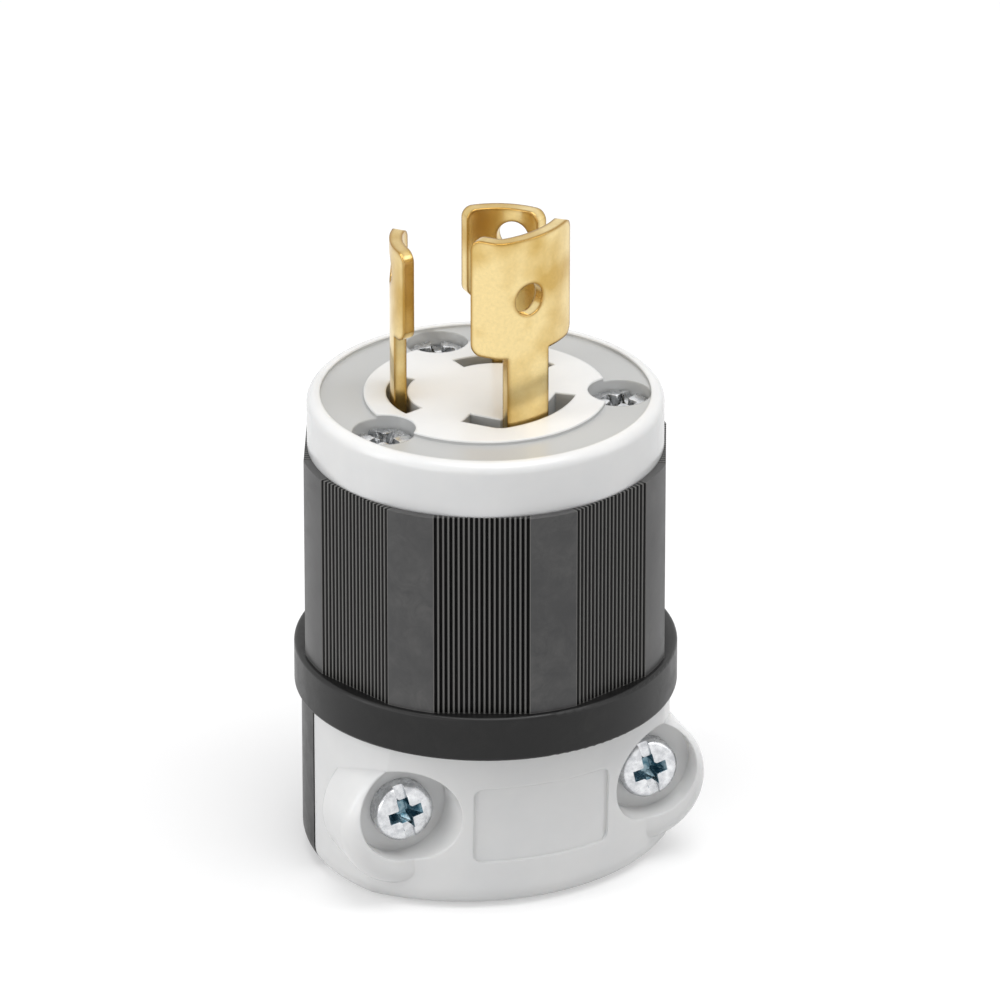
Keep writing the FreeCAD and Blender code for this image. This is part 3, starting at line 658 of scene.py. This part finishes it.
def screw_thread(length, sizes):
    """Helical ridge round the shank, made by winding its profile."""
    foot = SHANK_RADIUS - sizes.thread_depth - THREAD_ROOT
    pitch = sizes.thread_pitch
    turns = int((length - 2 * pitch) / pitch)
    start = -length + 0.8 * pitch
    profile = ((foot, -THREAD_FOOT), (SHANK_RADIUS, -THREAD_CREST),
               (SHANK_RADIUS, THREAD_CREST), (foot, THREAD_FOOT))
    deselect()
    bpy.ops.mesh.primitive_plane_add(size=1.0)
    ridge = bpy.context.active_object
    ring = [ridge.data.vertices[index] for index in ridge.data.polygons[0].vertices]
    for vertex, (out, along) in zip(ring, profile):
        vertex.co = (out, 0.0, start + along * pitch)
    steps = THREAD_STEPS * turns
    apply_modifier(ridge, "SCREW", angle=2 * math.pi * turns, screw_offset=pitch * turns,
                   steps=steps, render_steps=steps, use_merge_vertices=False)
    return ridge


def plate_all(part, plain):
    """Gives a part of a screw the plain plating and nothing else."""
    part.data.materials.clear()
    part.data.materials.append(plain)


def plate_and_shade_recess(head, reach, plain, recess_shade):
    """Gives the head the plain plating, and its recess a darker plating of its own that paints shade
    into it.
    """
    plate_all(head, plain)
    head.data.materials.append(recess_shade)
    for face in head.data.polygons:
        sunk = face.center.z < HEAD_HEIGHT - RECESS_SHADE_DEPTH
        close = math.hypot(face.center.x, face.center.y) < reach
        face.material_index = 1 if sunk and close else 0


def make_screw(node, axis, sizes, plain, recess_shade):
    """Finished screw with the head's radius and the length of a CAD screw along an axis."""
    low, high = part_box(node)
    radius = (high[0] - low[0]) / 2
    length = high[axis] - low[axis] - HEAD_HEIGHT
    head = screw_head(radius, sizes)
    plate_and_shade_recess(head, sizes.wing_length / 2, plain, recess_shade)
    apply_modifier(head, "BEVEL", width=SCREW_EDGE, segments=2, limit_method="ANGLE",
                   angle_limit=math.radians(35), use_clamp_overlap=True)
    shank = screw_shank(length, sizes)
    thread = screw_thread(length, sizes)
    plate_all(shank, plain)
    plate_all(thread, plain)
    whole = join([head, shank, thread], "screw_pattern")
    activate(whole)
    bpy.ops.object.shade_smooth_by_angle(angle=math.radians(32))
    return whole


def seat_screw(pattern, node, place):
    """Copies a finished screw to the place of the CAD screw that it stands for."""
    screw = pattern.copy()
    screw.data = pattern.data.copy()
    screw.name = node + "_plated"
    screw.data.name = screw.name
    bpy.context.scene.collection.objects.link(screw)
    screw.data.transform(place)
    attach(screw, BODY)
    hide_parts(node)


# Studio

def view_directions(studio):
    """Unit vectors of the camera's forward, right and up directions."""
    sin_a, cos_a = math.sin(studio.azimuth), math.cos(studio.azimuth)
    sin_e, cos_e = math.sin(studio.elevation), math.cos(studio.elevation)
    forward = Vector((-sin_a * cos_e, cos_a * cos_e, -sin_e))
    right = Vector((cos_a, sin_a, 0.0))
    up = Vector((-sin_a * sin_e, cos_a * sin_e, cos_e))
    return forward, right, up


def add_camera(studio):
    forward, right, up = view_directions(studio)
    target = Vector((0.0, 0.0, studio.aim_height))
    data = bpy.data.cameras.new("camera")
    camera = bpy.data.objects.new("camera", data)
    bpy.context.scene.collection.objects.link(camera)
    camera.location = target - forward * studio.distance
    aim = target + right * studio.aim_right + up * studio.aim_up
    camera.rotation_euler = (aim - camera.location).to_track_quat("-Z", "Y").to_euler()
    data.lens = studio.lens
    data.sensor_width = 36.0
    data.clip_start = 0.05
    data.clip_end = 20.0
    bpy.context.scene.camera = camera


def background_rays(tree, x, y):
    """1 for the rays that see the white background: camera, glossy and transmission rays."""
    path = add_node(tree, "ShaderNodeLightPath", x, y)
    seen = path.outputs["Is Camera Ray"]
    for ray in ("Is Glossy Ray", "Is Transmission Ray"):
        seen = calculate(tree, "MAXIMUM", seen, path.outputs[ray])
    return seen


def add_floor(studio):
    """Pale floor that keeps the plug's shadow and glows towards the background's rays."""
    deselect()
    bpy.ops.mesh.primitive_plane_add(size=studio.floor)
    floor = bpy.context.active_object
    floor.name = "floor"
    material, tree, shader = new_material("Floor")
    paper = noise(tree, -700, 0, object_place(tree, -900, 0), 1 / (40 * MM), 2.0, 0.55)
    tint = mix_colour(tree, -400, 100, paper, FLOOR_GREY, FLOOR_GREY_PALE)
    tree.links.new(tint, shader.inputs["Base Color"])
    shader.inputs["Roughness"].default_value = 0.9
    shader.inputs["Specular IOR Level"].default_value = 0.1
    glow = add_node(tree, "ShaderNodeEmission", 0, -300)
    tree.links.new(calculate(tree, "MULTIPLY", background_rays(tree, -600, -300), FLOOR_GLOW),
                   glow.inputs["Strength"])
    both = add_node(tree, "ShaderNodeAddShader", 200, -100)
    tree.links.new(shader.outputs[0], both.inputs[0])
    tree.links.new(glow.outputs[0], both.inputs[1])
    tree.links.new(both.outputs[0], tree.nodes["Material Output"].inputs["Surface"])
    floor.data.materials.append(material)


def add_world():
    """White background, and a grey room as far as the light on the plug goes."""
    world = bpy.data.worlds.new("studio")
    bpy.context.scene.world = world
    world.use_nodes = True
    tree = world.node_tree
    tone = mix_colour(tree, -300, 0, background_rays(tree, -900, 0), ROOM_GREY, WHITE)
    tree.links.new(tone, tree.nodes["Background"].inputs["Color"])


def add_lamp(name, azimuth, elevation, distance, width, height, radiance):
    """Soft box that looks at the plug: its radiance is what a mirror would show."""
    data = bpy.data.lights.new(name, "AREA")
    data.shape = "RECTANGLE"
    data.size = width
    data.size_y = height
    data.energy = radiance * math.pi * width * height
    lamp = bpy.data.objects.new(name, data)
    bpy.context.scene.collection.objects.link(lamp)
    turn, rise = math.radians(azimuth), math.radians(elevation)
    aim = Vector((0.0, 0.0, LAMP_AIM_HEIGHT))
    offset = Vector((math.sin(turn) * math.cos(rise), -math.cos(turn) * math.cos(rise),
                     math.sin(rise)))
    lamp.location = aim + offset * distance
    lamp.rotation_euler = (-offset).to_track_quat("-Z", "Y").to_euler()


def add_lamps():
    """Four soft boxes: degrees round and up, metres away, wide and high, and radiance."""
    add_lamp("top_box", 20.0, 78.0, 0.9, 0.7, 0.7, 4.0)
    add_lamp("left_box", -95.0, 18.0, 0.8, 0.25, 0.9, 2.8)
    add_lamp("right_box", 60.0, 25.0, 0.9, 0.3, 0.8, 1.2)
    add_lamp("front_box", -62.0, 8.0, 0.8, 0.4, 0.35, 2.0)


# Operators

class PLUG_OT_studio(Operator):
    """Floor, lamps, world and camera"""

    bl_idname = "plug.studio"
    bl_label = "Studio"

    def execute(self, context):
        studio = context.scene.plug_studio
        add_floor(studio)
        add_world()
        add_lamps()
        add_camera(studio)
        context.scene.view_settings.view_transform = "Standard"
        return {"FINISHED"}


class PLUG_OT_housing(Operator):
    """Black nylon of the grip, collar and rear shell"""

    bl_idname = "plug.housing"
    bl_label = "Housing finish"

    def execute(self, context):
        dress("housing", black_nylon(context.scene.plug_colours))
        return {"FINISHED"}


class PLUG_OT_white_parts(Operator):
    """White nylon of the nose and the cord clamp"""

    bl_idname = "plug.white_parts"
    bl_label = "White nylon"

    def execute(self, context):
        colours = context.scene.plug_colours
        low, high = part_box("nose")
        rim = (high[0] - low[0]) / 2 - NOSE_RIM
        # The nose's sunk parts get painted shade
        dress("nose", white_nylon(colours, "Nose nylon", high[2], rim))
        dress("cord_clamp", white_nylon(colours, "White nylon"))
        return {"FINISHED"}


class PLUG_OT_blades(Operator):
    """Mottled brass of the three blades"""

    bl_idname = "plug.blades"
    bl_label = "Blades"

    def execute(self, context):
        material = brass(context.scene.plug_colours, "Brass", BLADE_ROUGHNESS)
        for node in BLADES:
            dress(node, material)
        return {"FINISHED"}


class PLUG_OT_inner_parts(Operator):
    """Finishes of the terminals, seal and nuts inside"""

    bl_idname = "plug.inner_parts"
    bl_label = "Inner parts"

    def execute(self, context):
        colours = context.scene.plug_colours
        dress("terminal_retainer", black_nylon(colours))
        dress("dust_seal", rubber(colours))
        plate = brass(colours, "Plate brass", PLATE_ROUGHNESS)
        for node in PLATES + ("terminal_screw_line",):
            dress(node, plate)
        steel = plating("Zinc plated nut", colours.zinc, NUT_ZINC_PALE, NUT_ROUGHNESS)
        for node in NUTS + ("terminal_screw_neutral",):
            dress(node, steel)
        dress("terminal_screw_ground", plating("Green plating", colours.green, GREEN_PALE,
                                               NUT_ROUGHNESS))
        return {"FINISHED"}


class PLUG_OT_clamp_screws(Operator):
    """Plated combination screws of the cord clamp"""

    bl_idname = "plug.clamp_screws"
    bl_label = "Clamp screws"

    def execute(self, context):
        colours = context.scene.plug_colours
        plain = plating("Zinc plating", colours.zinc, ZINC_PALE, SCREW_ROUGHNESS)
        # Recess plating: blue tint and painted shade
        blue = plating("Blue zinc plating", colours.zinc_blue_recess_shade, ZINC_BLUE_SHADE_PALE, SCREW_ROUGHNESS)
        pattern = make_screw(CLAMP_SCREWS[0], 1, context.scene.plug_screws, plain, blue)
        for node in CLAMP_SCREWS:
            low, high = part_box(node)
            place = Matrix.Translation(((low[0] + high[0]) / 2, low[1] + HEAD_HEIGHT,
                                        (low[2] + high[2]) / 2))
            turn = Matrix.Rotation(math.pi / 2, 4, "X") @ Matrix.Rotation(CLAMP_SLOT_TURN, 4, "Z")
            seat_screw(pattern, node, place @ turn)
        bpy.data.objects.remove(pattern)
        return {"FINISHED"}


class PLUG_OT_assembly_screws(Operator):
    """Plated combination screws of the nose"""

    bl_idname = "plug.assembly_screws"
    bl_label = "Assembly screws"

    def execute(self, context):
        colours = context.scene.plug_colours
        plain = plating("Zinc plating", colours.zinc, ZINC_PALE, SCREW_ROUGHNESS)
        # Recess plating: painted shade
        grey = plating("Grey zinc plating", colours.zinc_grey_recess_shade, ZINC_GREY_SHADE_PALE, SCREW_ROUGHNESS)
        pattern = make_screw(ASSEMBLY_SCREWS[0], 2, context.scene.plug_screws, plain, grey)
        for node, turn in zip(ASSEMBLY_SCREWS, ASSEMBLY_SLOT_TURNS):
            low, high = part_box(node)
            place = Matrix.Translation(((low[0] + high[0]) / 2, (low[1] + high[1]) / 2,
                                        high[2] - HEAD_HEIGHT))
            seat_screw(pattern, node, place @ Matrix.Rotation(turn, 4, "Z"))
        bpy.data.objects.remove(pattern)
        return {"FINISHED"}


class PLUG_PT_panel(Panel):
    """Lists the plug's sizes, colours and finishes"""

    bl_idname = "PLUG_PT_panel"
    bl_label = "Locking plug"
    bl_space_type = "VIEW_3D"
    bl_region_type = "UI"
    bl_category = "Plug"

    def draw(self, context):
        for group in (context.scene.plug_screws, context.scene.plug_colours,
                      context.scene.plug_studio):
            for name in group.__annotations__:
                self.layout.prop(group, name)
        for operator in OPERATORS:
            self.layout.operator(operator.bl_idname)


OPERATORS = (PLUG_OT_studio, PLUG_OT_housing, PLUG_OT_white_parts, PLUG_OT_blades,
             PLUG_OT_inner_parts, PLUG_OT_clamp_screws, PLUG_OT_assembly_screws)
CLASSES = (PlugScrewSizes, PlugColours, PlugStudio) + OPERATORS + (PLUG_PT_panel,)


def register():
    for cls in CLASSES:
        bpy.utils.register_class(cls)
    bpy.types.Scene.plug_screws = PointerProperty(type=PlugScrewSizes)
    bpy.types.Scene.plug_colours = PointerProperty(type=PlugColours)
    bpy.types.Scene.plug_studio = PointerProperty(type=PlugStudio)


def unregister():
    del bpy.types.Scene.plug_screws
    del bpy.types.Scene.plug_colours
    del bpy.types.Scene.plug_studio
    for cls in reversed(CLASSES):
        bpy.utils.unregister_class(cls)


def main():
    register()
    bpy.ops.plug.studio()
    bpy.ops.plug.housing()
    bpy.ops.plug.white_parts()
    bpy.ops.plug.blades()
    bpy.ops.plug.inner_parts()
    bpy.ops.plug.clamp_screws()
    bpy.ops.plug.assembly_screws()
    deselect()


if __name__ == "__main__":
    main()
